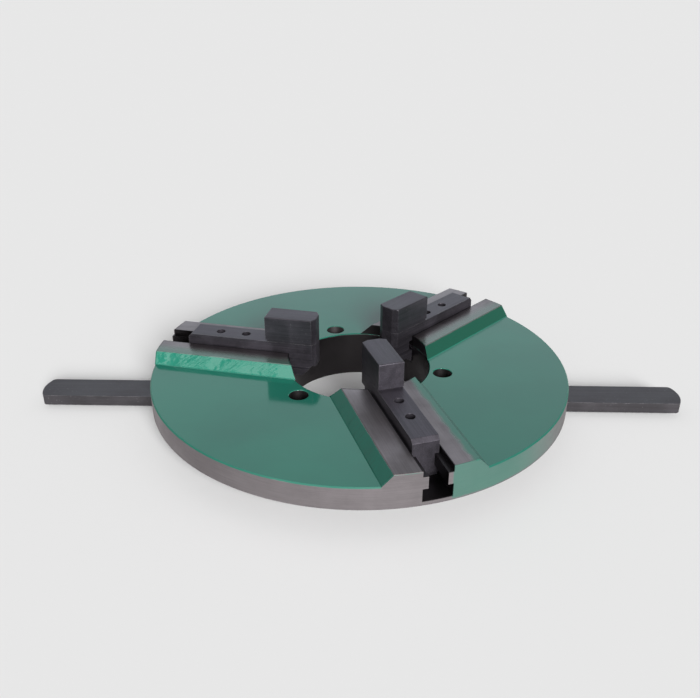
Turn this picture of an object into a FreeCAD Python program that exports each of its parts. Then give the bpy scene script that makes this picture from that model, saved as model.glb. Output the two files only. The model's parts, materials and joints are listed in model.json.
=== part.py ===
import FreeCAD, Part
import math
import os

# Flat three-jaw self-centring chuck, turned by two flat bars on its scroll.
# Millimetres and degrees. +Z is the chuck axis, z = 0 is the face that sits on the machine's table.

# Body: a flat disc with one raised guide for each jaw and a hub below
disc_radius = 150.0
disc_bottom = 19.0
disc_top = 35.5
edge_chamfer = 0.8
bore_radius = 51.3
hub_radius = 78.0
shoulder_radius = 80.5
shoulder_z = 22.0
pocket_radius = 119.5
pocket_ceiling = 26.4

# Guides: flat ground top, sides sloping down to the disc
guide_top = 43.5
guide_half_width = 26.5
guide_foot_half_width = 33.7
guide_edge_break = 0.5
jaw_angles = {1: 168.0, 2: 48.0, 3: -72.0}

# H-shaped jaw slot: wide top, neck between two tongues, wide bottom
slot_half_width = 9.75
neck_half_width = 6.2
tongue_top = 39.5
tongue_bottom = 31.3
slot_floor = 22.2
slide_gap = 0.05

# Mounting holes, midway between the jaws
mount_circle_radius = 61.5
mount_hole_radius = 6.75
mount_hole_chamfer = 0.4

# Scroll: a ring with one spiral thread on top, running on the hub
scroll_gap = 0.05
scroll_radius = 118.5
scroll_step_radius = 95.0
scroll_bottom = 7.3
scroll_step_z = 10.0
scroll_root = 21.9
scroll_crest = 25.9
scroll_pitch = 10.0
thread_half_width = 2.4
thread_inner = 84.6
thread_outer = 115.6
thread_phase = 118.0

# Base jaws: H-section slides with teeth below and a ledge above
jaw_inner = 31.0
jaw_outer = 129.0
jaw_half_width = 8.8
foot_half_width = 9.6
ledge_z = 51.0
ledge_end_chamfer = 2.5
tooth_tip = 22.4
tooth_root = 26.2
tooth_half_width = 2.15
tooth_outer_curve = 79.0
tooth_inner_curve = 125.0
tooth_inner_limit = 47.0
nose_half_width = 4.5
nose_angle = 60.0
undercut_low = (45.0, tooth_tip)
undercut_high = (34.0, 33.0)
jaw_hole_first = {1: 46.3, 2: 39.7, 3: 43.0}
jaw_hole_pitch = 20.0
jaw_hole_count = 4
jaw_hole_radius = 3.3
counterbore_radius = 5.5
counterbore_top = 38.0

# Top jaws: blocks on the inner end of each slide
block_outer = 68.5
block_top = 70.5
block_relief = 1.3
block_chamfer = 0.6
block_thread_top = 65.0
pin_step = 10.0
pin_radius = 3.0
pin_gap = 0.02
pin_bottom = 45.0
pin_top = 57.0

# Back plate, with a centring register, and thrust washer under the hub
plate_radius = 92.0
plate_top = 6.0
register_radius = 52.5
washer_inner = 78.3
washer_outer = 91.5
washer_top = 7.2
plate_screw_circle = 66.0
plate_screw_spread = 25.0
plate_screw_top = 18.0

# Bars, each seated in a groove under the scroll
handle_turn = -0.8
handle_inner = 96.0
handle_outer = 237.5
handle_half_width = 12.5
handle_bottom = 4.5
handle_top = 12.5
handle_crown = 3.5
handle_corner_round = 3.0
handle_chamfer = 0.5
groove_half_width = 12.55
handle_screw_places = (101.5, 113.0)
handle_screw_top = 19.9

# M6 screws
thread_radius = 2.95
tapped_radius = 3.0
cap_head_radius = 5.0
cap_head_height = 6.0
cap_socket_across = 5.0
cap_socket_depth = 3.0
cap_screw_length = 25.0
flat_head_radius = 5.9
flat_head_height = 3.0
flat_head_sunk = 0.15
flat_socket_across = 4.0
flat_socket_depth = 2.0
seat_gap = 0.05
hole_past_screw = 0.6
reach = 60.0


def vec(x, y, z):
    return FreeCAD.Vector(x, y, z)


def cylinder(radius, low, high, x=0.0, y=0.0):
    return Part.makeCylinder(radius, high - low, vec(x, y, low))


def ring(outer, inner, low, high):
    return cylinder(outer, low, high).cut(cylinder(inner, low - 1, high + 1))


def cone(low_radius, high_radius, low, high, x=0.0, y=0.0):
    return Part.makeCone(low_radius, high_radius, high - low, vec(x, y, low))


def box(x_range, y_range, z_range):
    size = [high - low for low, high in (x_range, y_range, z_range)]
    return Part.makeBox(*size, vec(x_range[0], y_range[0], z_range[0]))


def polygon_face(points):
    return Part.Face(Part.makePolygon(points + points[:1]))


def along_x(section, start, end):
    # A section of (y, z) points, drawn out along X
    face = polygon_face([vec(start, y, z) for y, z in section])
    return face.extrude(vec(end - start, 0, 0))


def mirrored(half):
    # The whole section from its +y half, listed from the bottom up
    return half + [(-y, z) for y, z in reversed(half)]


def turned(shape, angle):
    copy = shape.copy()
    copy.rotate(vec(0, 0, 0), vec(0, 0, 1), angle)
    return copy


def place_on_circle(radius, angle):
    return radius * math.cos(math.radians(angle)), radius * math.sin(math.radians(angle))


def break_edges(shape, size, wanted):
    edges = [edge for edge in shape.Edges if wanted(edge.BoundBox)]
    return shape.makeChamfer(size, edges)


def hex_socket(across, low, high, x, y):
    corner = across / math.sqrt(3)
    points = []
    for step in range(6):
        dx, dy = place_on_circle(corner, 60 * step)
        points.append(vec(x + dx, y + dy, low))
    return polygon_face(points).extrude(vec(0, 0, high - low))


def cap_screw(x, y, seat):
    # Socket cap screw put in from below, its head under the seat
    head_low = seat - cap_head_height
    head = cylinder(cap_head_radius, head_low, seat, x, y)
    head = break_edges(head, 0.4, lambda b: b.ZMax < head_low + 0.01)
    screw = head.fuse(cylinder(thread_radius, seat, seat + cap_screw_length, x, y))
    socket = hex_socket(cap_socket_across, head_low, head_low + cap_socket_depth, x, y)
    return screw.cut(socket).removeSplitter()


def flat_screw(x, y, face, end):
    # Countersunk screw put in from below, its head just under the face
    low = face + flat_head_sunk
    head = cone(flat_head_radius, thread_radius, low, low + flat_head_height, x, y)
    screw = head.fuse(cylinder(thread_radius, low, end, x, y))
    socket = hex_socket(flat_socket_across, low, low + flat_socket_depth, x, y)
    return screw.cut(socket).removeSplitter()


def flat_screw_hole(x, y, face, through):
    # Countersink and clearance hole for a flat screw
    head_low = flat_head_radius + flat_head_sunk + seat_gap
    sink = cone(head_low, tapped_radius + seat_gap, face, face + flat_head_height + flat_head_sunk, x, y)
    return sink.fuse(cylinder(tapped_radius + seat_gap, face, through, x, y))


def mount_angles():
    return [angle + 60.0 for angle in jaw_angles.values()]


def plate_screw_points():
    points = []
    for angle in jaw_angles.values():
        for side in (-1, 1):
            points.append(place_on_circle(plate_screw_circle, angle + side * plate_screw_spread))
    return points


def mount_holes(low, high):
    holes = []
    for angle in mount_angles():
        x, y = place_on_circle(mount_circle_radius, angle)
        holes.append(cylinder(mount_hole_radius, low - 1, high + 1, x, y))
    return holes


def guide():
    section = mirrored([
        (guide_foot_half_width, disc_bottom + 2),
        (guide_foot_half_width, disc_top),
        (guide_half_width, guide_top),
    ])
    return along_x(section, bore_radius / 2, disc_radius + 10)


def jaw_slot():
    section = mirrored([
        (slot_half_width, slot_floor),
        (slot_half_width, tongue_bottom),
        (neck_half_width, tongue_bottom),
        (neck_half_width, tongue_top),
        (slot_half_width, tongue_top),
        (slot_half_width, guide_top + 5),
    ])
    slot = along_x(section, bore_radius / 2, disc_radius + 10)
    # The floor stops at the hub's edge, where the scroll's teeth come up into the slot
    relief = box(
        (hub_radius - 0.1, pocket_radius - 0.5),
        (-slot_half_width, slot_half_width),
        (shoulder_z - 1, slot_floor + 1),
    )
    return slot.fuse(relief)


def chuck_body():
    disc = cylinder(disc_radius, disc_bottom, disc_top)
    disc = break_edges(disc, edge_chamfer, lambda b: b.XLength > disc_radius)
    outline = cylinder(disc_radius, disc_bottom + 1, guide_top)
    outline = break_edges(outline, guide_edge_break, lambda b: b.ZMin > guide_top - 0.01)
    body = disc.fuse(cylinder(hub_radius, plate_top, disc_bottom + 1))
    for angle in jaw_angles.values():
        body = body.fuse(turned(guide(), angle).common(outline))
    body = body.removeSplitter()
    pocket = ring(pocket_radius, shoulder_radius, disc_bottom - 1, pocket_ceiling)
    pocket = pocket.fuse(ring(pocket_radius, hub_radius, disc_bottom - 1, shoulder_z))
    body = body.cut(pocket)
    for angle in jaw_angles.values():
        body = body.cut(turned(jaw_slot(), angle))
    bore = cylinder(bore_radius, -1, guide_top + 1)
    mouth = cone(bore_radius, bore_radius + edge_chamfer, disc_top - edge_chamfer, disc_top)
    body = body.cut(bore).cut(mouth)
    for angle in mount_angles():
        x, y = place_on_circle(mount_circle_radius, angle)
        sink_low = disc_top - mount_hole_chamfer
        body = body.cut(cone(mount_hole_radius, mount_hole_radius + mount_hole_chamfer, sink_low, disc_top, x, y))
    for hole in mount_holes(plate_top, guide_top):
        body = body.cut(hole)
    for x, y in plate_screw_points():
        body = body.cut(cylinder(tapped_radius, plate_top - 1, plate_screw_top + hole_past_screw, x, y))
    return body


def scroll_thread():
    # Spiral that shrinks by one pitch a turn, anticlockwise seen from above
    turns = (thread_outer - thread_inner) / scroll_pitch
    first_turn = (thread_phase - thread_outer) / scroll_pitch
    steps = int(turns * 36)
    walls = []
    for side in (-1, 1):
        points = []
        for step in range(steps + 1):
            turn = first_turn + turns * step / steps
            radius = thread_phase - scroll_pitch * turn + side * thread_half_width
            x, y = place_on_circle(radius, 360 * turn)
            points.append(vec(x, y, scroll_root - 0.5))
        curve = Part.BSplineCurve()
        curve.interpolate(points)
        walls.append((curve.toShape(), points[0], points[-1]))
    inner, outer = walls
    start = Part.makeLine(inner[1], outer[1])
    end = Part.makeLine(inner[2], outer[2])
    outline = Part.Wire(Part.__sortEdges__([inner[0], end, outer[0], start]))
    return Part.Face(outline).extrude(vec(0, 0, scroll_crest - scroll_root + 0.5))


def scroll_plate():
    journal = hub_radius + scroll_gap
    plate = ring(scroll_radius, journal, scroll_step_z, scroll_root)
    plate = plate.fuse(ring(scroll_step_radius, journal, scroll_bottom, scroll_step_z))
    plate = plate.removeSplitter()
    for angle in (handle_turn, handle_turn + 180):
        width = (-groove_half_width, groove_half_width)
        length = (scroll_step_radius - 2, scroll_radius + 5)
        groove = box(length, width, (scroll_step_z - 1, handle_top))
        groove = groove.cut(cylinder(scroll_step_radius, 0, guide_top))
        plate = plate.cut(turned(groove, angle))
        for place in handle_screw_places:
            x, y = place_on_circle(place, angle)
            plate = plate.cut(cylinder(tapped_radius, scroll_step_z, handle_screw_top + hole_past_screw, x, y))
    return plate.fuse(scroll_thread())


def thrust_washer():
    return ring(washer_outer, washer_inner, plate_top, washer_top)


def back_plate():
    plate = ring(plate_radius, register_radius, 0, plate_top)
    plate = break_edges(plate, edge_chamfer, lambda b: b.XLength > 2 * register_radius + 1)
    for hole in mount_holes(0, plate_top):
        plate = plate.cut(hole)
    for x, y in plate_screw_points():
        plate = plate.cut(flat_screw_hole(x, y, 0, plate_top + 1))
    return plate


def back_plate_screws():
    return Part.makeCompound([flat_screw(x, y, 0, plate_screw_top) for x, y in plate_screw_points()])


def nose_cutters(low, high):
    # Wedges that bring the inner end to a point, so that three jaws can close
    slope = math.tan(math.radians(nose_angle))
    cutters = []
    for side in (-1, 1):
        points = [
            vec(jaw_inner - 1, side * (nose_half_width - slope), low),
            vec(jaw_inner - 1, side * reach, low),
            vec(jaw_inner + (reach - nose_half_width) / slope, side * reach, low),
        ]
        cutters.append(polygon_face(points).extrude(vec(0, 0, high - low)))
    return cutters


def jaw_tooth(centre):
    # Crescent: the outer face fits the tightest turn, the inner face the widest
    outer_axis = centre + tooth_half_width - tooth_outer_curve
    inner_axis = centre - tooth_half_width - tooth_inner_curve
    root = tooth_root + 0.5
    tooth = cylinder(tooth_outer_curve, tooth_tip, root, outer_axis)
    tooth = tooth.cut(cylinder(tooth_inner_curve, tooth_tip - 1, root + 1, inner_axis))
    keep = box((centre - 10, centre + 10), (-foot_half_width, foot_half_width), (tooth_tip, root))
    return tooth.common(keep)


def tooth_places(angle):
    # Groove radii at this jaw's angle, out to both ends of the slide
    first = thread_phase - scroll_pitch * angle / 360 + scroll_pitch / 2
    places = []
    for step in range(-20, 20):
        place = first + scroll_pitch * step
        if tooth_inner_limit < place - tooth_half_width and place + tooth_half_width < jaw_outer:
            places.append(place)
    return places


def jaw_hole_places(number):
    # The three slides are alike, so each sits a third of the scroll's pitch from the next
    return [jaw_hole_first[number] + jaw_hole_pitch * step for step in range(jaw_hole_count)]


def base_jaw(number, angle):
    section = mirrored([
        (foot_half_width, tooth_root),
        (foot_half_width, tongue_bottom - slide_gap),
        (neck_half_width - slide_gap, tongue_bottom - slide_gap),
        (neck_half_width - slide_gap, tongue_top + slide_gap),
        (jaw_half_width, tongue_top + slide_gap),
        (jaw_half_width, ledge_z),
    ])
    jaw = along_x(section, jaw_inner, jaw_outer)
    jaw = break_edges(jaw, ledge_end_chamfer, lambda b: b.ZMin > ledge_z - 0.01 and b.XMin > jaw_outer - 0.01)
    for place in tooth_places(angle):
        jaw = jaw.fuse(jaw_tooth(place))
    under_points = [
        vec(jaw_inner - 5, -reach, tooth_tip - 5),
        vec(undercut_low[0] + 5, -reach, tooth_tip - 5),
        vec(undercut_low[0], -reach, undercut_low[1]),
        vec(undercut_high[0], -reach, undercut_high[1]),
        vec(jaw_inner - 5, -reach, undercut_high[1]),
    ]
    jaw = jaw.cut(polygon_face(under_points).extrude(vec(0, 2 * reach, 0)))
    for cutter in nose_cutters(tooth_tip - 1, ledge_z + 1):
        jaw = jaw.cut(cutter)
    for place in jaw_hole_places(number):
        jaw = jaw.cut(cylinder(jaw_hole_radius, tooth_tip - 1, ledge_z + 1, place))
        jaw = jaw.cut(cylinder(counterbore_radius, tooth_tip - 1, counterbore_top, place))
    jaw = jaw.cut(cylinder(pin_radius + pin_gap, pin_bottom, ledge_z + 1, jaw_hole_first[number] + pin_step))
    return jaw.removeSplitter()


def top_jaw(number):
    half = jaw_half_width
    jaw = box((jaw_inner, block_outer), (-half, half), (ledge_z, block_top))
    for cutter in nose_cutters(ledge_z - 1, block_top + 1):
        jaw = jaw.cut(cutter)
    jaw = break_edges(jaw, block_chamfer, lambda b: b.ZMin > block_top - 0.01)
    jaw = jaw.cut(box((block_outer - block_relief, reach + block_outer), (-reach, reach),
                      (ledge_z - 1, ledge_z + block_relief)))
    for place in jaw_hole_places(number)[:2]:
        jaw = jaw.cut(cylinder(tapped_radius, ledge_z - 1, block_thread_top, place))
    pin_place = jaw_hole_first[number] + pin_step
    return jaw.cut(cylinder(pin_radius + pin_gap, ledge_z - 1, pin_top + pin_gap, pin_place))


def top_jaw_screws(number):
    return Part.makeCompound([cap_screw(place, 0, counterbore_top) for place in jaw_hole_places(number)[:2]])


def top_jaw_pin(number):
    pin = cylinder(pin_radius, pin_bottom, pin_top, jaw_hole_first[number] + pin_step)
    return pin.makeChamfer(0.4, pin.Edges[:1] + pin.Edges[2:3])


def handle():
    # Flat bar along +X, its outer end crowned and the corners rounded
    shoulder = handle_outer - handle_crown
    corners = [
        vec(shoulder, -handle_half_width, handle_bottom),
        vec(shoulder, handle_half_width, handle_bottom),
        vec(handle_inner, handle_half_width, handle_bottom),
        vec(handle_inner, -handle_half_width, handle_bottom),
    ]
    crown = Part.Arc(corners[0], vec(handle_outer, 0, handle_bottom), corners[1]).toShape()
    sides = Part.makePolygon(corners[1:] + corners[:1])
    bar = Part.Face(Part.Wire([crown] + sides.Edges)).extrude(vec(0, 0, handle_top - handle_bottom))
    upright = [edge for edge in bar.Edges if edge.BoundBox.ZLength > 1 and edge.BoundBox.XMin > shoulder - 0.1]
    bar = bar.makeFillet(handle_corner_round, upright)
    bar = break_edges(bar, handle_chamfer, lambda b: b.ZLength < 0.01)
    for place in handle_screw_places:
        bar = bar.cut(flat_screw_hole(place, 0, handle_bottom, handle_top + 1))
    return bar


def handle_screws():
    return Part.makeCompound([
        flat_screw(place, 0, handle_bottom, handle_screw_top) for place in handle_screw_places
    ])


def all_parts():
    parts = {
        "chuck_body": chuck_body(),
        "scroll_plate": scroll_plate(),
        "thrust_washer": thrust_washer(),
        "back_plate": back_plate(),
        "back_plate_screws": back_plate_screws(),
        "handle_right": turned(handle(), handle_turn),
        "handle_left": turned(handle(), handle_turn + 180),
        "handle_screws_right": turned(handle_screws(), handle_turn),
        "handle_screws_left": turned(handle_screws(), handle_turn + 180),
    }
    for number, angle in jaw_angles.items():
        parts[f"base_jaw_{number}"] = turned(base_jaw(number, angle), angle)
        parts[f"top_jaw_{number}"] = turned(top_jaw(number), angle)
        parts[f"top_jaw_screws_{number}"] = turned(top_jaw_screws(number), angle)
        parts[f"top_jaw_pin_{number}"] = turned(top_jaw_pin(number), angle)
    return parts


os.makedirs("parts", exist_ok=True)
for name, shape in all_parts().items():
    shape.exportStep(f"parts/{name}.step")
    print(name, "solids", len(shape.Solids), "valid", shape.isValid(), "volume", round(shape.Volume))
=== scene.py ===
import bpy
import json
import math
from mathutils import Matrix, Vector

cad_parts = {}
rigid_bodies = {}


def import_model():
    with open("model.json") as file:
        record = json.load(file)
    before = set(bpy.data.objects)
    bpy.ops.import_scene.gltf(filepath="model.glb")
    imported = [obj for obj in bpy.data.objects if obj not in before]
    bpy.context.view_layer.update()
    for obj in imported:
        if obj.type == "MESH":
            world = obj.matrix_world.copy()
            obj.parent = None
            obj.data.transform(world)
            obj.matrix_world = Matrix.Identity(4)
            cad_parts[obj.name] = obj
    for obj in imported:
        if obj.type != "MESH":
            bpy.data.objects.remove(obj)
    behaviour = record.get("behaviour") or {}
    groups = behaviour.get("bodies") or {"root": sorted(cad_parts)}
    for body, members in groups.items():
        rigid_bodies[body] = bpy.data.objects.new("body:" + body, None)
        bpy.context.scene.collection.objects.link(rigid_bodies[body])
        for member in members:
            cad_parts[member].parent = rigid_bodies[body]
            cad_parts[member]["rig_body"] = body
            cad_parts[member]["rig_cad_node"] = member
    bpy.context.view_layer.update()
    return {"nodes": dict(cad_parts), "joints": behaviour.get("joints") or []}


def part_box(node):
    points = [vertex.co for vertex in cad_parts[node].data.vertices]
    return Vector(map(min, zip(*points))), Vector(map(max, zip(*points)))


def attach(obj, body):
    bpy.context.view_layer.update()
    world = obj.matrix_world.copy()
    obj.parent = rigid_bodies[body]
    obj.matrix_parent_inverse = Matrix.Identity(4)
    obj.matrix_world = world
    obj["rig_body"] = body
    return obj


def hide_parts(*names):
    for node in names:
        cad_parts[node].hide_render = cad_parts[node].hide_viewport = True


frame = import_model()
mm = 0.001
jawAxes = {joint["child"]: Vector(joint["axis"])
           for joint in frame["joints"] if joint["type"] == "slide"}
jawAngles = {name: math.atan2(axis.y, axis.x) for name, axis in jawAxes.items()}
jawNames = sorted(jawAngles)
print("frame loaded:", len(frame["nodes"]), "nodes")

hair = 0.01 * mm  # slack for picking edges and corners by their place
past = 1.0 * mm  # how far a cutter reaches past what it cuts
softCopyGap = 0.004 * mm  # points closer than this are one point
smoothAngle = 28.0  # edges that turn by more than these degrees count as sharp


def deselectAll():
    bpy.ops.object.select_all(action="DESELECT")


def makeActive(piece):
    deselectAll()
    piece.select_set(True)
    bpy.context.view_layer.objects.active = piece


def enterEdit(piece):
    makeActive(piece)
    bpy.ops.object.mode_set(mode="EDIT")


def leaveEdit():
    bpy.ops.object.mode_set(mode="OBJECT")


def applyPlace(piece):
    makeActive(piece)
    bpy.ops.object.transform_apply(location=True, rotation=True, scale=True)


def applyModifier(piece, kind, **settings):
    makeActive(piece)
    modifier = piece.modifiers.new(kind.lower(), kind)
    for name, value in settings.items():
        setattr(modifier, name, value)
    bpy.ops.object.modifier_apply(modifier=modifier.name)


def selectEdges(piece, wanted):
    # edges are picked by the places of their two ends
    enterEdit(piece)
    bpy.ops.mesh.select_mode(type="EDGE")
    bpy.ops.mesh.select_all(action="DESELECT")
    leaveEdit()
    mesh = piece.data
    for edge in mesh.edges:
        first, second = (mesh.vertices[v].co for v in edge.vertices)
        edge.select = wanted(first, second)
    enterEdit(piece)


def roundEdges(piece, wanted, radius, steps):
    selectEdges(piece, wanted)
    bpy.ops.mesh.bevel(offset=radius, offset_type="OFFSET", segments=steps, affect="EDGES",
                       clamp_overlap=True)
    leaveEdit()


def evenNormals(piece):
    # large faces stay flat, and the narrow edges carry the turn
    makeActive(piece)
    bpy.ops.object.shade_smooth_by_angle(angle=math.radians(smoothAngle))
    applyModifier(piece, "WEIGHTED_NORMAL", weight=50, keep_sharp=True)


def softenEdges(piece, width, steps=2, sharpAngle=smoothAngle):
    applyModifier(piece, "BEVEL", width=width, segments=steps, limit_method="ANGLE",
                  angle_limit=math.radians(sharpAngle), use_clamp_overlap=True)
    evenNormals(piece)


def mergeFlats(piece, gap, flatAngle):
    # joins doubled points and melts faces that lie in one plane
    enterEdit(piece)
    bpy.ops.mesh.select_all(action="SELECT")
    bpy.ops.mesh.remove_doubles(threshold=gap)
    bpy.ops.mesh.dissolve_limited(angle_limit=math.radians(flatAngle))
    leaveEdit()


def softCopy(nodeName, width):
    # a merged copy of a machined node, with its sharp edges broken
    source = frame["nodes"][nodeName]
    makeActive(source)
    bpy.ops.object.duplicate()
    piece = bpy.context.active_object
    piece.name = nodeName + "_finished"
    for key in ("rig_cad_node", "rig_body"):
        del piece[key]
    piece.parent = None
    mergeFlats(piece, gap=softCopyGap, flatAngle=0.6)
    softenEdges(piece, width)
    return piece


def cutWith(piece, cutter):
    applyModifier(piece, "BOOLEAN", operation="DIFFERENCE", object=cutter, solver="EXACT")
    bpy.data.objects.remove(cutter)


def finishPiece(piece, body, node, material):
    piece.data.materials.clear()
    piece.data.materials.append(material)
    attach(piece, body)
    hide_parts(node)


def put(tree, kind, inputs=None, **settings):
    # adds a node, links what comes from other nodes and sets the rest
    node = tree.nodes.new(kind)
    for name, value in settings.items():
        setattr(node, name, value)
    for socket, value in (inputs or {}).items():
        if isinstance(value, bpy.types.NodeSocket):
            tree.links.new(value, node.inputs[socket])
        else:
            node.inputs[socket].default_value = value
    return node


def calc(tree, operation, first, second=0.0, third=0.0, clamp=False):
    inputs = {0: first, 1: second, 2: third}
    return put(tree, "ShaderNodeMath", inputs, operation=operation, use_clamp=clamp).outputs[0]


def times(tree, first, second, clamp=False):
    return calc(tree, "MULTIPLY", first, second, clamp=clamp)


def plus(tree, first, second, clamp=False):
    return calc(tree, "ADD", first, second, clamp=clamp)


def minus(tree, first, second, clamp=False):
    return calc(tree, "SUBTRACT", first, second, clamp=clamp)


def larger(tree, first, second):
    return calc(tree, "MAXIMUM", first, second)


def opposite(tree, mask):
    return minus(tree, 1.0, mask)


def narrowerThan(tree, value, halfWidth):
    # 1 within half a width of the middle
    return calc(tree, "LESS_THAN", calc(tree, "ABSOLUTE", value), halfWidth)


def ramp(tree, value, low, high):
    # 0 below low, 1 above high, smooth between
    inputs = {"Value": value, "From Min": low, "From Max": high}
    return put(tree, "ShaderNodeMapRange", inputs, interpolation_type="SMOOTHSTEP").outputs[0]


def smoothBand(tree, value, low, high, soft):
    # 1 between low and high, 0 outside
    return times(tree, ramp(tree, value, low - soft, low),
                 opposite(tree, ramp(tree, value, high, high + soft)))


def mixColour(tree, mask, first, second):
    return put(tree, "ShaderNodeMix", {0: mask, 6: first, 7: second}, data_type="RGBA").outputs[2]


def mixValue(tree, mask, first, second):
    return put(tree, "ShaderNodeMix", {0: mask, 2: first, 3: second}, data_type="FLOAT").outputs[0]


def noise(tree, vector, scale, detail=3.0, roughness=0.5):
    inputs = {"Vector": vector, "Scale": scale, "Detail": detail, "Roughness": roughness}
    return put(tree, "ShaderNodeTexNoise", inputs).outputs[0]


def objectPlace(tree):
    return put(tree, "ShaderNodeTexCoord").outputs["Object"]


def vectorMath(tree, operation, first, second=(0.0, 0.0, 0.0)):
    return put(tree, "ShaderNodeVectorMath", {0: first, 1: second}, operation=operation).outputs


def stretch(tree, vector, factors):
    return vectorMath(tree, "MULTIPLY", vector, factors)[0]


def turnFlat(tree, vector, angle):
    # turns a pattern about the chuck axis
    inputs = {"Vector": vector, "Angle": angle}
    return put(tree, "ShaderNodeVectorRotate", inputs, rotation_type="Z_AXIS").outputs[0]


def newGroup(name, inputs, outputs):
    group = bpy.data.node_groups.new(name, "ShaderNodeTree")
    for label, value in inputs.items():
        socket = group.interface.new_socket(label, in_out="INPUT", socket_type="NodeSocketFloat")
        socket.default_value = value
    for label in outputs:
        group.interface.new_socket(label, in_out="OUTPUT", socket_type="NodeSocketFloat")
    return group, put(group, "NodeGroupInput").outputs, put(group, "NodeGroupOutput").inputs


def useGroup(tree, group, **inputs):
    return put(tree, "ShaderNodeGroup", inputs, node_tree=group).outputs


toolLines = {"stretch": (0.02, 1.0, 1.0), "coarseScale": 0.22, "fineShare": 0.6, "coarseShare": 0.4,
             "ringStretch": (0.03, 0.03, 0.0)}
smudgeWarp = (0.03, 0.03, 0.03)


def makeEdgeWear():
    # mask of rubbed edges, broken up by noise
    group, given, out = newGroup("edgeWear", {"Radius": 0.6 * mm, "Amount": 1.0, "Breakup": 90.0}, ["Mask"])
    rounded = put(group, "ShaderNodeBevel", {"Radius": given["Radius"]}, samples=6).outputs[0]
    plain = put(group, "ShaderNodeNewGeometry").outputs["Normal"]
    bend = vectorMath(group, "DOT_PRODUCT", rounded, plain)["Value"]
    edge = ramp(group, opposite(group, bend), low=0.01, high=0.14)
    patches = noise(group, objectPlace(group), given["Breakup"], detail=4.0, roughness=0.65)
    broken = times(group, edge, ramp(group, patches, low=0.36, high=0.62))
    group.links.new(times(group, broken, given["Amount"], clamp=True), out["Mask"])
    return group


def makeGrindLines():
    # fine straight lines along one direction, as a surface grinder or mill leaves
    group, given, out = newGroup("grindLines", {"Angle": 0.0, "Scale": 900.0}, ["Lines"])
    turned = turnFlat(group, objectPlace(group), times(group, given["Angle"], -1.0))
    stretched = stretch(group, turned, toolLines["stretch"])
    fine = noise(group, stretched, given["Scale"], detail=4.0, roughness=0.6)
    coarseScale = times(group, given["Scale"], toolLines["coarseScale"])
    coarse = noise(group, stretched, coarseScale, detail=2.0)
    fineShare = times(group, fine, toolLines["fineShare"])
    coarseShare = times(group, coarse, toolLines["coarseShare"])
    group.links.new(plus(group, fineShare, coarseShare), out["Lines"])
    return group


def makeTurnedLines():
    # rings about the chuck axis, as a lathe tool leaves on faces and rims
    group, given, out = newGroup("turnedLines", {"Scale": 800.0}, ["Lines", "Radius"])
    coords = objectPlace(group)
    flat = stretch(group, coords, (1.0, 1.0, 0.0))
    radius = vectorMath(group, "LENGTH", flat)["Value"]
    height = put(group, "ShaderNodeSeparateXYZ", {0: coords}).outputs[2]
    around = stretch(group, flat, toolLines["ringStretch"])
    rings = put(group, "ShaderNodeCombineXYZ", {0: radius, 2: height}).outputs[0]
    place = vectorMath(group, "ADD", rings, around)[0]
    group.links.new(noise(group, place, given["Scale"], roughness=0.7), out["Lines"])
    group.links.new(radius, out["Radius"])
    return group


def makeSmudges():
    # soft cloudy patches of oil and handling
    group, given, out = newGroup("smudges", {"Scale": 18.0, "Contrast": 1.0}, ["Mask"])
    coords = objectPlace(group)
    inputs = {"Vector": coords, "Scale": given["Scale"]}
    warp = put(group, "ShaderNodeTexNoise", inputs).outputs["Color"]
    place = vectorMath(group, "ADD", coords, stretch(group, warp, smudgeWarp))[0]
    cloud = noise(group, place, given["Scale"], detail=5.0, roughness=0.6)
    soft = ramp(group, cloud, low=0.35, high=0.68)
    group.links.new(times(group, soft, given["Contrast"], clamp=True), out["Mask"])
    return group


edgeWear = makeEdgeWear()
grindLines = makeGrindLines()
turnedLines = makeTurnedLines()
smudges = makeSmudges()


def newMaterial(name):
    material = bpy.data.materials.new(name)
    material.use_nodes = True
    tree = material.node_tree
    tree.nodes.clear()
    shader = put(tree, "ShaderNodeBsdfPrincipled")
    out = put(tree, "ShaderNodeOutputMaterial")
    tree.links.new(shader.outputs[0], out.inputs[0])
    return material, tree, shader


def bumpFrom(tree, height, strength, distance):
    inputs = {"Height": height, "Strength": strength, "Distance": distance}
    return put(tree, "ShaderNodeBump", inputs).outputs[0]


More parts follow.
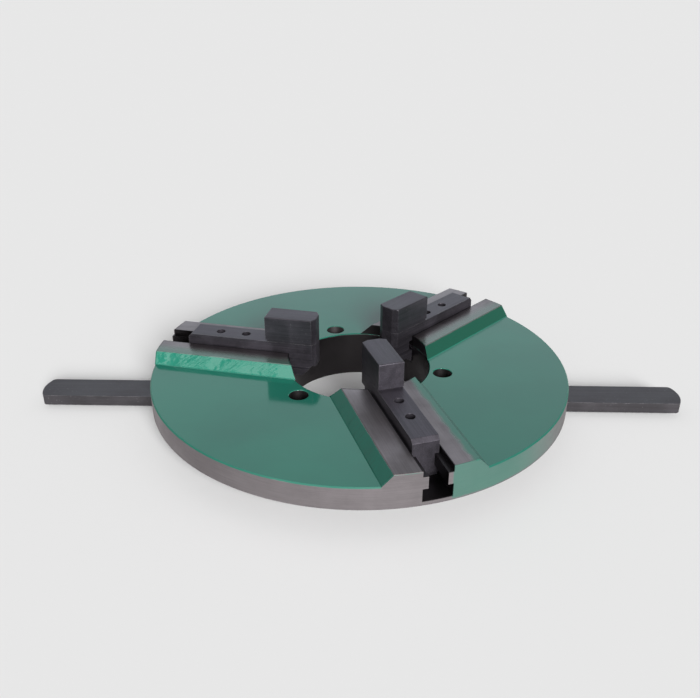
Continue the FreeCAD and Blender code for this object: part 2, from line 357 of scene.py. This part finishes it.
# pairs give where a mask starts and where it is full
paintedBody = {
    "paint": (0.010, 0.140, 0.096, 1.0), "paintDeep": (0.008, 0.108, 0.076, 1.0),
    # the slope greens are one paint: painted shade on slopes turned left and right, painted light on slopes
    # turned to the front
    "leftSlopeShadedPaint": (0.012, 0.110, 0.080, 1.0), "rightSlopeShadedPaint": (0.005, 0.062, 0.039, 1.0),
    "frontSlopeLitPaint": (0.014, 0.165, 0.113, 1.0),
    "rim": (0.265, 0.242, 0.25, 1.0), "rimDark": (0.185, 0.169, 0.174, 1.0),
    "guide": (0.235, 0.21, 0.215, 1.0), "guideDark": (0.13, 0.117, 0.12, 1.0),
    # painted shade: the bore and the slots are coloured dark
    "boreSteel": (0.055, 0.050, 0.052, 1.0), "shadedSlotSteel": (0.035, 0.032, 0.034, 1.0),
    "faceZ": 34.85 * mm, "rimFaceZ": 34.5 * mm, "rimFace": (147.5 * mm, 148.5 * mm),
    "faceSoft": 0.3 * mm, "facingUp": (0.25, 0.45),
    "guideTopZ": 43.42 * mm, "guideTopSoft": 0.2 * mm, "guideHalfWidth": 34.5 * mm,
    "paintStops": (0.5 * mm, 0.2 * mm), "strayStarts": (0.7 * mm, 0.5 * mm), "strayWander": 6.0,
    "slopeLowZ": 36.1 * mm, "slopeHighZ": 43.2 * mm, "slopeSoft": 0.4 * mm,
    "facingLeft": (0.35, 0.6), "facingRight": (0.35, 0.5), "facingFront": (0.5, 0.65),
    "depthScale": 9.0, "depthPatches": (0.3, 0.7),
    "slotHalfWidth": 10.3 * mm, "slotShadeZ": (20.2 * mm, 20.8 * mm),
    "boreWall": (51.8 * mm, 52.2 * mm), "rimWall": (149.3 * mm, 149.7 * mm),
    "raggedScale": 130.0, "raggedBy": 0.8 * mm, "cloudScale": 16.0,
    "ringScale": 1500.0, "groundScale": 1300.0,
    "steelTone": (0.3, 0.7), "lineShare": 0.4, "cloudShare": 0.6,
    "wear": {"Radius": 0.5 * mm, "Amount": 0.12, "Breakup": 120.0},
    "paintRough": 0.09, "paintCloud": 0.05, "bareRough": 0.30, "bareCloud": 0.16,
    "dullRim": (148.8 * mm, 149.2 * mm), "dullerBy": 0.28,
}

# paint follows the brushed skin below it, more on the slopes
paintSkin = {
    "skinScale": 46.0, "skinOnFace": 0.10, "skinOnSlope": 0.8,
    "peelScale": 420.0, "peel": 0.012,
    "brushTurn": -0.33, "brushStretch": (0.14, 1.0, 0.0), "brushScale": 290.0,
    "brushPatchScale": 48.0, "brushPatches": (0.38, 0.62), "brushOnSlope": 0.7, "brushOnFront": 2.2,
    "toolMarks": 0.05, "strength": 0.6, "depth": 0.7 * mm,
}

# paint that ran over the rim, by turn about the axis in radians
overspray = {"start": -1.20, "startSoft": 0.008, "fadeFrom": -0.92, "end": -0.30, "strength": 0.78,
             "wall": (149.0 * mm, 149.4 * mm), "footZ": (19.6 * mm, 21.4 * mm), "footRagged": 2.0,
             "thinScale": 55.0, "thinPatches": (0.12, 0.42)}

# paint that strays onto a guide's flat, on one side of its slot
strayPaint = {
    "jaw_1": {"side": 1, "start": 14.0 * mm, "fade": 11.0 * mm, "strength": 0.55},
    "jaw_2": {"side": -1, "start": 13.0 * mm, "fade": 11.0 * mm, "strength": 0.40},
    "jaw_3": {"side": 1, "start": 20.0 * mm, "fade": 4.5 * mm, "strength": 0.92},
}


def guideMasks(tree, x, y, z, ragged):
    # all three guides: ground lines, slots, and the paint that strays onto the flats
    look = paintedBody
    lines = slots = stray = 0.0
    for name in jawNames:
        turnCos, turnSin = math.cos(jawAngles[name]), math.sin(jawAngles[name])
        along = plus(tree, times(tree, x, turnCos), times(tree, y, turnSin))
        across = minus(tree, times(tree, y, turnCos), times(tree, x, turnSin))
        ahead = calc(tree, "GREATER_THAN", along, 0.0)
        onGuide = times(tree, ahead, narrowerThan(tree, across, look["guideHalfWidth"]))
        inSlot = times(tree, ahead, narrowerThan(tree, across, look["slotHalfWidth"]))
        ground = useGroup(tree, grindLines, Angle=jawAngles[name], Scale=look["groundScale"])["Lines"]
        lines = larger(tree, lines, times(tree, onGuide, ground))
        slots = larger(tree, slots, inSlot)

        over = strayPaint[name]
        wander = times(tree, ragged, look["strayWander"])
        wander = calc(tree, "MULTIPLY_ADD", across, over["side"], wander)
        spread = ramp(tree, wander, over["start"], over["start"] + over["fade"])
        stray = larger(tree, stray, times(tree, onGuide, times(tree, spread, over["strength"])))
    low, full = (look["guideTopZ"] - below for below in look["strayStarts"])
    return lines, slots, times(tree, stray, ramp(tree, z, low, full))


def paintOnFace(tree, z, radius, normal, ragged, slots):
    # the face and the guide slopes, but not the guides' flats and slots
    look = paintedBody
    roughZ = plus(tree, z, ragged)
    # over the broken edge of the rim it reaches lower than at the bore and the holes
    lowest = mixValue(tree, ramp(tree, radius, *look["rimFace"]), look["faceZ"], look["rimFaceZ"])
    above = ramp(tree, minus(tree, roughZ, lowest), 0.0, look["faceSoft"])
    low, full = (look["guideTopZ"] - below for below in look["paintStops"])
    underTop = opposite(tree, ramp(tree, roughZ, low, full))
    facingUp = ramp(tree, normal[2], *look["facingUp"])
    face = times(tree, times(tree, above, underTop), facingUp)
    return times(tree, face, opposite(tree, slots))


def paintOnRim(tree, coords, radius, ragged):
    # paint that ran over the rim beside one slot
    x, y, z = put(tree, "ShaderNodeSeparateXYZ", {0: coords}).outputs
    turn = calc(tree, "ARCTAN2", y, x)
    started = ramp(tree, turn, overspray["start"], overspray["start"] + overspray["startSoft"])
    unended = opposite(tree, ramp(tree, turn, overspray["fadeFrom"], overspray["end"]))
    foot = plus(tree, z, times(tree, ragged, overspray["footRagged"]))
    foot = ramp(tree, foot, *overspray["footZ"])
    onWall = times(tree, ramp(tree, radius, *overspray["wall"]), foot)
    spray = times(tree, times(tree, started, unended), onWall)
    thin = noise(tree, coords, overspray["thinScale"], detail=4.0)
    thin = ramp(tree, thin, *overspray["thinPatches"])
    return times(tree, times(tree, spray, thin), overspray["strength"])


def bareSteelColour(tree, z, radius, lineMask, onTop, cloud, slots, offRim):
    # turned rim, ground guide tops, and painted shade inside the bore and the slots
    look = paintedBody
    tone = times(tree, ramp(tree, lineMask, *look["steelTone"]), look["lineShare"])
    tone = plus(tree, tone, times(tree, cloud, look["cloudShare"]), clamp=True)
    rimSteel = mixColour(tree, tone, look["rim"], look["rimDark"])
    guideSteel = mixColour(tree, tone, look["guide"], look["guideDark"])
    bare = mixColour(tree, onTop, rimSteel, guideSteel)
    # painted shade: the bore's walls are painted dark
    inBore = opposite(tree, ramp(tree, radius, *look["boreWall"]))
    bare = mixColour(tree, inBore, bare, look["boreSteel"])
    # painted shade: the slots' walls and floors are painted dark, above the underside
    slotShade = times(tree, slots, times(tree, offRim, ramp(tree, z, *look["slotShadeZ"])))
    return mixColour(tree, slotShade, bare, look["shadedSlotSteel"])


def paintColour(tree, coords, normal, slope):
    # uneven depth on the face; slopes turned left and right get painted shade, and slopes turned to the
    # front get painted light
    look = paintedBody
    patches = noise(tree, coords, look["depthScale"], detail=4.0)
    patches = ramp(tree, patches, *look["depthPatches"])
    paint = mixColour(tree, patches, look["paint"], look["paintDeep"])
    # painted shade on left and right slopes, painted light on front slopes
    facingLeft = ramp(tree, times(tree, normal[0], -1.0), *look["facingLeft"])
    paint = mixColour(tree, times(tree, slope, facingLeft), paint, look["leftSlopeShadedPaint"])
    facingRight = ramp(tree, normal[0], *look["facingRight"])
    paint = mixColour(tree, times(tree, slope, facingRight), paint, look["rightSlopeShadedPaint"])
    facingFront = ramp(tree, times(tree, normal[1], -1.0), *look["facingFront"])
    frontward = times(tree, slope, facingFront)
    return mixColour(tree, frontward, paint, look["frontSlopeLitPaint"]), frontward


def paintRelief(tree, coords, slope, frontward, paintMask):
    look = paintSkin
    onSlope = times(tree, slope, paintMask)
    skin = noise(tree, coords, look["skinScale"], roughness=0.55)
    skin = times(tree, skin, mixValue(tree, onSlope, look["skinOnFace"], look["skinOnSlope"]))
    peel = times(tree, noise(tree, coords, look["peelScale"], detail=2.0), look["peel"])
    strokes = stretch(tree, turnFlat(tree, coords, look["brushTurn"]), look["brushStretch"])
    brush = noise(tree, strokes, look["brushScale"], detail=4.0, roughness=0.62)
    patches = ramp(tree, noise(tree, coords, look["brushPatchScale"]), *look["brushPatches"])
    brush = times(tree, times(tree, brush, patches), onSlope)
    brush = times(tree, brush, mixValue(tree, frontward, look["brushOnSlope"], look["brushOnFront"]))
    return plus(tree, plus(tree, skin, peel), brush)


def makeBodyMaterial():
    look = paintedBody
    material, tree, shader = newMaterial("greenPaintAndBareSteel")
    coords = objectPlace(tree)
    x, y, z = put(tree, "ShaderNodeSeparateXYZ", {0: coords}).outputs
    facing = put(tree, "ShaderNodeNewGeometry").outputs["Normal"]
    normal = put(tree, "ShaderNodeSeparateXYZ", {0: facing}).outputs
    rings = useGroup(tree, turnedLines, Scale=look["ringScale"])
    radius = rings["Radius"]
    ragged = noise(tree, coords, look["raggedScale"], detail=4.0)
    ragged = times(tree, minus(tree, ragged, 0.5), look["raggedBy"])
    cloud = useGroup(tree, smudges, Scale=look["cloudScale"])["Mask"]
    offRim = opposite(tree, ramp(tree, radius, *look["rimWall"]))
    slope = smoothBand(tree, z, look["slopeLowZ"], look["slopeHighZ"], look["slopeSoft"])
    slope = times(tree, slope, offRim)

    lines, slots, stray = guideMasks(tree, x, y, z, ragged)
    face = paintOnFace(tree, z, radius, normal, ragged, slots)
    paintMask = larger(tree, face, paintOnRim(tree, coords, radius, ragged))
    paintMask = larger(tree, paintMask, stray)
    wear = useGroup(tree, edgeWear, **look["wear"])["Mask"]
    paintMask = minus(tree, paintMask, wear, clamp=True)

    onTop = ramp(tree, z, look["guideTopZ"] - look["guideTopSoft"], look["guideTopZ"])
    lineMask = mixValue(tree, onTop, rings["Lines"], lines)
    bare = bareSteelColour(tree, z, radius, lineMask, onTop, cloud, slots, offRim)
    paint, frontward = paintColour(tree, coords, normal, slope)
    tree.links.new(mixColour(tree, paintMask, bare, paint), shader.inputs["Base Color"])
    tree.links.new(opposite(tree, paintMask), shader.inputs["Metallic"])

    bareRough = plus(tree, look["bareRough"], times(tree, cloud, look["bareCloud"]))
    paintRough = plus(tree, look["paintRough"], times(tree, cloud, look["paintCloud"]))
    rough = mixValue(tree, paintMask, bareRough, paintRough)
    # the rim and its broken edge are duller than the face
    duller = times(tree, ramp(tree, radius, *look["dullRim"]), look["dullerBy"])
    tree.links.new(plus(tree, rough, duller), shader.inputs["Roughness"])

    relief = paintRelief(tree, coords, slope, frontward, paintMask)
    height = mixValue(tree, paintMask, times(tree, lineMask, paintSkin["toolMarks"]), relief)
    bump = bumpFrom(tree, height, paintSkin["strength"], paintSkin["depth"])
    tree.links.new(bump, shader.inputs["Normal"])
    return material


blackOxide = {
    "jaw": {"dark": (0.040, 0.037, 0.044, 1.0), "light": (0.085, 0.077, 0.094, 1.0),
            "worn": (0.24, 0.23, 0.24, 1.0), "rough": 0.34, "lines": 1100.0},
    "bar": {"dark": (0.048, 0.045, 0.049, 1.0), "light": (0.074, 0.069, 0.076, 1.0),
            "worn": (0.34, 0.33, 0.34, 1.0), "rough": 0.42, "lines": 700.0},
    "screw": {"dark": (0.014, 0.014, 0.015, 1.0), "light": (0.03, 0.03, 0.032, 1.0),
              "worn": (0.2, 0.2, 0.2, 1.0), "rough": 0.32, "lines": 1500.0},
}

oxideSkin = {"wear": {"Radius": 0.55 * mm, "Amount": 0.8, "Breakup": 150.0}, "cloudScale": 34.0,
             "lineTone": (0.35, 0.65), "lineShare": 0.5, "cloudShare": 0.5,
             "speckScale": 900.0, "specks": (0.66, 0.74), "speckShare": 0.25,
             "metallic": 0.75, "cloudRough": 0.14, "wornSmoother": 0.1,
             "pitScale": 260.0, "pitShare": 0.5, "strength": 0.25, "depth": 0.12 * mm}


def makeBlackOxide(name, kind, angle):
    look, skin = blackOxide[kind], oxideSkin
    material, tree, shader = newMaterial(name)
    coords = objectPlace(tree)
    lines = useGroup(tree, grindLines, Angle=angle, Scale=look["lines"])["Lines"]
    cloud = useGroup(tree, smudges, Scale=skin["cloudScale"])["Mask"]
    wear = useGroup(tree, edgeWear, **skin["wear"])["Mask"]
    tone = times(tree, ramp(tree, lines, *skin["lineTone"]), skin["lineShare"])
    tone = plus(tree, tone, times(tree, cloud, skin["cloudShare"]))
    colour = mixColour(tree, tone, look["dark"], look["light"])
    speck = noise(tree, coords, skin["speckScale"], detail=2.0)
    speck = times(tree, ramp(tree, speck, *skin["specks"]), skin["speckShare"])
    colour = mixColour(tree, speck, colour, look["worn"])
    tree.links.new(mixColour(tree, wear, colour, look["worn"]), shader.inputs["Base Color"])
    shader.inputs["Metallic"].default_value = skin["metallic"]
    rough = plus(tree, look["rough"], times(tree, cloud, skin["cloudRough"]))
    rough = minus(tree, rough, times(tree, wear, skin["wornSmoother"]))
    tree.links.new(rough, shader.inputs["Roughness"])
    pits = times(tree, noise(tree, coords, skin["pitScale"], detail=4.0), skin["pitShare"])
    height = plus(tree, times(tree, lines, skin["lineShare"]), pits)
    tree.links.new(bumpFrom(tree, height, skin["strength"], skin["depth"]), shader.inputs["Normal"])
    return material


bareMetals = {
    "turned": {"light": (0.46, 0.45, 0.44, 1.0), "dark": (0.27, 0.26, 0.26, 1.0), "rough": 0.30},
    "ground": {"light": (0.52, 0.51, 0.50, 1.0), "dark": (0.36, 0.35, 0.35, 1.0), "rough": 0.26,
               # painted shade: the ground steel is painted dark inside the bore
               "bore": (0.055, 0.050, 0.052, 1.0), "boreWall": (52.8 * mm, 53.1 * mm)},
    "bronze": {"light": (0.58, 0.39, 0.18, 1.0), "dark": (0.36, 0.22, 0.10, 1.0), "rough": 0.30},
}

metalSkin = {"wear": {"Radius": 0.5 * mm, "Amount": 0.5, "Breakup": 130.0}, "cloudScale": 20.0,
             "ringScale": 1100.0, "ringTone": (0.3, 0.7), "ringShare": 0.5, "cloudShare": 0.5,
             "cloudRough": 0.18, "strength": 0.2, "depth": 0.05 * mm}


def makeBareMetal(name, kind):
    look, skin = bareMetals[kind], metalSkin
    material, tree, shader = newMaterial(name)
    rings = useGroup(tree, turnedLines, Scale=skin["ringScale"])
    cloud = useGroup(tree, smudges, Scale=skin["cloudScale"])["Mask"]
    wear = useGroup(tree, edgeWear, **skin["wear"])["Mask"]
    tone = times(tree, ramp(tree, rings["Lines"], *skin["ringTone"]), skin["ringShare"])
    tone = plus(tree, tone, times(tree, cloud, skin["cloudShare"]))
    tone = minus(tree, tone, wear, clamp=True)
    steel = mixColour(tree, tone, look["light"], look["dark"])
    # painted shade inside the bore
    if "bore" in look:
        inBore = opposite(tree, ramp(tree, rings["Radius"], *look["boreWall"]))
        steel = mixColour(tree, inBore, steel, look["bore"])
    tree.links.new(steel, shader.inputs["Base Color"])
    shader.inputs["Metallic"].default_value = 1.0
    rough = plus(tree, look["rough"], times(tree, cloud, skin["cloudRough"]))
    tree.links.new(rough, shader.inputs["Roughness"])
    bump = bumpFrom(tree, rings["Lines"], skin["strength"], skin["depth"])
    tree.links.new(bump, shader.inputs["Normal"])
    return material


bodyMaterial = makeBodyMaterial()
jawMaterials = {name: makeBlackOxide("blackOxide_" + name, "jaw", jawAngles[name]) for name in jawNames}
barMaterial = makeBlackOxide("blackBarStock", "bar", 0.0)
screwMaterial = makeBlackOxide("blackScrews", "screw", 0.0)
turnedSteel = makeBareMetal("turnedSteel", "turned")
groundSteel = makeBareMetal("groundSteel", "ground")
bronze = makeBareMetal("turnedBronze", "bronze")
print("materials made")


brokenEdges = {"body": 0.3 * mm, "baseJaw": 0.25 * mm, "backPlate": 0.3 * mm}

body = softCopy("chuck_body", brokenEdges["body"])
finishPiece(body, "body", "chuck_body", bodyMaterial)
backPlate = softCopy("back_plate", brokenEdges["backPlate"])
finishPiece(backPlate, "body", "back_plate", groundSteel)
print("body and back plate softened:", len(body.data.polygons), "faces")

for jawName in jawNames:
    number = jawName[-1]
    baseJaw = softCopy("base_jaw_" + number, brokenEdges["baseJaw"])
    finishPiece(baseJaw, jawName, "base_jaw_" + number, jawMaterials[jawName])
print("base jaws softened")


def bisectAway(piece, place, outward):
    # cuts off all that lies beyond a plane and closes the cut
    enterEdit(piece)
    bpy.ops.mesh.select_all(action="SELECT")
    bpy.ops.mesh.bisect(plane_co=place, plane_no=outward, clear_outer=True, use_fill=True)
    leaveEdit()


def addBlock(name, low, high):
    deselectAll()
    middle = [(a + b) / 2 for a, b in zip(low, high)]
    bpy.ops.mesh.primitive_cube_add(size=1.0, location=middle)
    block = bpy.context.active_object
    block.name = name
    block.scale = [b - a for a, b in zip(low, high)]
    applyPlace(block)
    return block


def copyTurned(piece, name, angle):
    # a copy with its own mesh, turned about the chuck axis
    makeActive(piece)
    bpy.ops.object.duplicate()
    twin = bpy.context.active_object
    twin.name = name
    twin.rotation_euler = (0.0, 0.0, angle)
    applyPlace(twin)
    return twin


topJaw = {"inner": 31.0 * mm, "outer": 68.5 * mm, "halfWidth": 8.8 * mm,
          "noseHalfWidth": 4.5 * mm, "noseAngle": 60.0, "relief": 1.3 * mm,
          "topEdge": 0.6 * mm, "edge": 0.3 * mm}


def makeTopJaw():
    # block along +X with a blunt nose and a relief under its outer end
    look = topJaw
    low, high = (corner.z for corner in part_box("top_jaw_1"))
    inner, outer, half = look["inner"], look["outer"], look["halfWidth"]
    block = addBlock("top_jaw_model", (inner, -half, low), (outer, half, high))
    slope = math.radians(look["noseAngle"])
    for side in (-1, 1):
        bisectAway(block, (inner, side * look["noseHalfWidth"], 0.0),
                   (-math.sin(slope), side * math.cos(slope), 0.0))
    relief = addBlock("relief", (outer - look["relief"], -2 * half, low - past),
                      (outer + past, 2 * half, low + look["relief"]))
    cutWith(block, relief)
    roundEdges(block, lambda a, b: min(a.z, b.z) > high - hair, look["topEdge"], steps=2)
    softenEdges(block, look["edge"])
    return block


blockModel = makeTopJaw()
for jawName in jawNames:
    number = jawName[-1]
    block = copyTurned(blockModel, "top_jaw_block_" + number, jawAngles[jawName])
    finishPiece(block, jawName, "top_jaw_" + number, jawMaterials[jawName])
bpy.data.objects.remove(blockModel)
print("top jaws made")


bar = {"inner": 96.0 * mm, "outer": 237.5 * mm, "halfWidth": 12.5 * mm, "turn": -0.8,
       "crown": 3.5 * mm, "crownSteps": 14, "cornerRound": 2.6 * mm, "cornerSteps": 8,
       "edge": 0.55 * mm, "edgeSteps": 3, "sharpAngle": 40.0,
       "screwPlaces": (101.5 * mm, 113.0 * mm), "screwHole": 3.05 * mm,
       "headHole": 6.1 * mm, "headDepth": 3.15 * mm, "holeSides": 48}


def crownEnd(piece, shoulder):
    # the end face is drawn out in strips, then pushed out to the crown's arc
    half, outer, crown = bar["halfWidth"], bar["outer"], bar["crown"]
    selectEdges(piece, lambda a, b: min(a.x, b.x) > shoulder - hair)
    bpy.ops.mesh.extrude_region_move(TRANSFORM_OT_translate={"value": (crown / 2, 0.0, 0.0)})
    leaveEdit()
    selectEdges(piece, lambda a, b: abs(a.y - b.y) > half and min(a.x, b.x) > shoulder - hair)
    bpy.ops.mesh.subdivide(number_cuts=bar["crownSteps"])
    leaveEdit()
    crownRadius = (half * half + crown * crown) / (2 * crown)
    for vertex in piece.data.vertices:
        if vertex.co.x > shoulder + hair:
            vertex.co.x = outer - crownRadius + math.sqrt(crownRadius ** 2 - vertex.co.y ** 2)
    mergeFlats(piece, gap=hair, flatAngle=0.5)


def sinkScrewHole(piece, place, low, high):
    # through hole, countersunk from below
    deselectAll()
    bpy.ops.mesh.primitive_cylinder_add(vertices=bar["holeSides"], radius=bar["screwHole"],
                                        depth=high - low + 2 * past,
                                        location=(place, 0.0, (low + high) / 2))
    drill = bpy.context.active_object
    applyPlace(drill)
    cutWith(piece, drill)
    deselectAll()
    bpy.ops.mesh.primitive_cone_add(vertices=bar["holeSides"], radius1=bar["headHole"],
                                    radius2=bar["screwHole"], depth=bar["headDepth"] + 2 * hair,
                                    location=(place, 0.0, low + bar["headDepth"] / 2 - hair))
    sink = bpy.context.active_object
    applyPlace(sink)
    cutWith(piece, sink)


def makeBar(name, turn):
    # flat bar along +X with a crowned outer end, then turned about the chuck axis
    look = bar
    low, high = (corner.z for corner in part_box("handle_right"))
    half = look["halfWidth"]
    shoulder = look["outer"] - look["crown"]
    piece = addBlock(name, (look["inner"], -half, low), (shoulder, half, high))
    crownEnd(piece, shoulder)

    def isCorner(first, second):
        # an upright edge between a side and the crown
        upright = abs(first.z - second.z) > hair
        return upright and all(v.x > shoulder - hair and abs(v.y) > half - hair for v in (first, second))

    roundEdges(piece, isCorner, look["cornerRound"], look["cornerSteps"])
    softenEdges(piece, look["edge"], look["edgeSteps"], look["sharpAngle"])
    for place in look["screwPlaces"]:
        sinkScrewHole(piece, place, low, high)
    piece.rotation_euler = (0.0, 0.0, math.radians(turn))
    applyPlace(piece)
    evenNormals(piece)
    return piece


for side, turn in (("right", bar["turn"]), ("left", bar["turn"] + 180.0)):
    piece = makeBar("bar_" + side, turn)
    finishPiece(piece, "scroll", "handle_" + side, barMaterial)
print("bars made")

# nodes that keep their machined mesh
nodeMaterials = {"scroll_plate": turnedSteel, "thrust_washer": bronze,
                 "back_plate_screws": screwMaterial, "handle_screws_left": screwMaterial,
                 "handle_screws_right": screwMaterial}
for jawName in jawNames:
    nodeMaterials["top_jaw_screws_" + jawName[-1]] = screwMaterial
    nodeMaterials["top_jaw_pin_" + jawName[-1]] = groundSteel
for nodeName, material in nodeMaterials.items():
    for place in frame["nodes"][nodeName].material_slots:
        place.material = material
print("inner pieces coloured:", len(nodeMaterials))


studio = {"floor": (0.77, 0.77, 0.77, 1.0), "floorSize": 60.0, "floorRough": 0.9,
          "world": (1.0, 1.0, 1.0, 1.0), "worldStrength": 0.30, "backdrop": 0.82,
          "sunStrength": 5.5, "sunElevation": 25.0, "sunAzimuth": 286.0, "sunSize": 26.0,
          "lens": 40.7, "sensor": 36.0, "nearest": 0.01,
          "camera": (0.0, -514.6, 308.2), "aim": (-6.6, 0.0, 47.8)}

panels = {
    "backPanel": {"place": (0.0, 1.6, 0.95), "aim": (0.0, 0.0, 0.4), "size": (3.4, 1.7),
                  "radiance": 0.70, "colour": (0.90, 1.0, 1.12)},
    "topPanel": {"place": (-0.44, -0.50, 0.84), "aim": (0.0, 0.0, 0.0), "size": (0.42, 0.42),
                 "radiance": 2.4, "colour": (1.0, 1.0, 1.0)},
}


def layFloor():
    deselectAll()
    bpy.ops.mesh.primitive_plane_add(size=studio["floorSize"], location=(0, 0, 0))
    floor = bpy.context.active_object
    floor.name = "floor"
    floorMaterial, _, floorShader = newMaterial("paleFloor")
    floorShader.inputs["Base Color"].default_value = studio["floor"]
    floorShader.inputs["Roughness"].default_value = studio["floorRough"]
    floorShader.inputs["Specular IOR Level"].default_value = 0.0
    floor.data.materials.append(floorMaterial)


def lightWorld():
    # the backdrop looks brighter than the light it gives
    world = bpy.data.worlds.new("studioWorld")
    bpy.context.scene.world = world
    world.use_nodes = True
    tree = world.node_tree
    tree.nodes.clear()
    onlySeen = put(tree, "ShaderNodeLightPath").outputs["Is Camera Ray"]
    strength = mixValue(tree, onlySeen, studio["worldStrength"], studio["backdrop"])
    background = put(tree, "ShaderNodeBackground", {0: studio["world"], 1: strength})
    put(tree, "ShaderNodeOutputWorld", {0: background.outputs[0]})


def addSun(name):
    deselectAll()
    bpy.ops.object.light_add(type="SUN", location=(0, 0, 3))
    lamp = bpy.context.active_object
    lamp.name = name
    lamp.data.energy = studio["sunStrength"]
    lamp.data.angle = math.radians(studio["sunSize"])
    across, up = math.radians(studio["sunAzimuth"]), math.radians(studio["sunElevation"])
    fromSun = Vector((math.cos(across) * math.cos(up), math.sin(across) * math.cos(up), math.sin(up)))
    lamp.rotation_euler = fromSun.to_track_quat("Z", "Y").to_euler()


def addPanel(name, look):
    # a pale panel that shows in reflections and not as soft light
    deselectAll()
    bpy.ops.object.light_add(type="AREA", location=look["place"])
    lamp = bpy.context.active_object
    lamp.name = name
    lamp.data.shape = "RECTANGLE"
    lamp.data.size, lamp.data.size_y = look["size"]
    lamp.data.energy = look["radiance"] * math.pi * look["size"][0] * look["size"][1]
    lamp.data.color = look["colour"]
    towards = Vector(look["aim"]) - Vector(look["place"])
    lamp.rotation_euler = towards.to_track_quat("-Z", "Y").to_euler()
    lamp.visible_camera = False
    lamp.visible_diffuse = False


def placeCamera():
    deselectAll()
    bpy.ops.object.camera_add(location=[value * mm for value in studio["camera"]])
    camera = bpy.context.active_object
    towards = Vector(studio["aim"]) * mm - camera.location
    camera.rotation_euler = towards.to_track_quat("-Z", "Y").to_euler()
    camera.data.lens = studio["lens"]
    camera.data.sensor_width = studio["sensor"]
    camera.data.clip_start = studio["nearest"]
    bpy.context.scene.camera = camera


layFloor()
lightWorld()
addSun("keySun")
for panelName, look in panels.items():
    addPanel(panelName, look)
placeCamera()
bpy.context.scene.view_settings.view_transform = "Standard"
print("studio set")
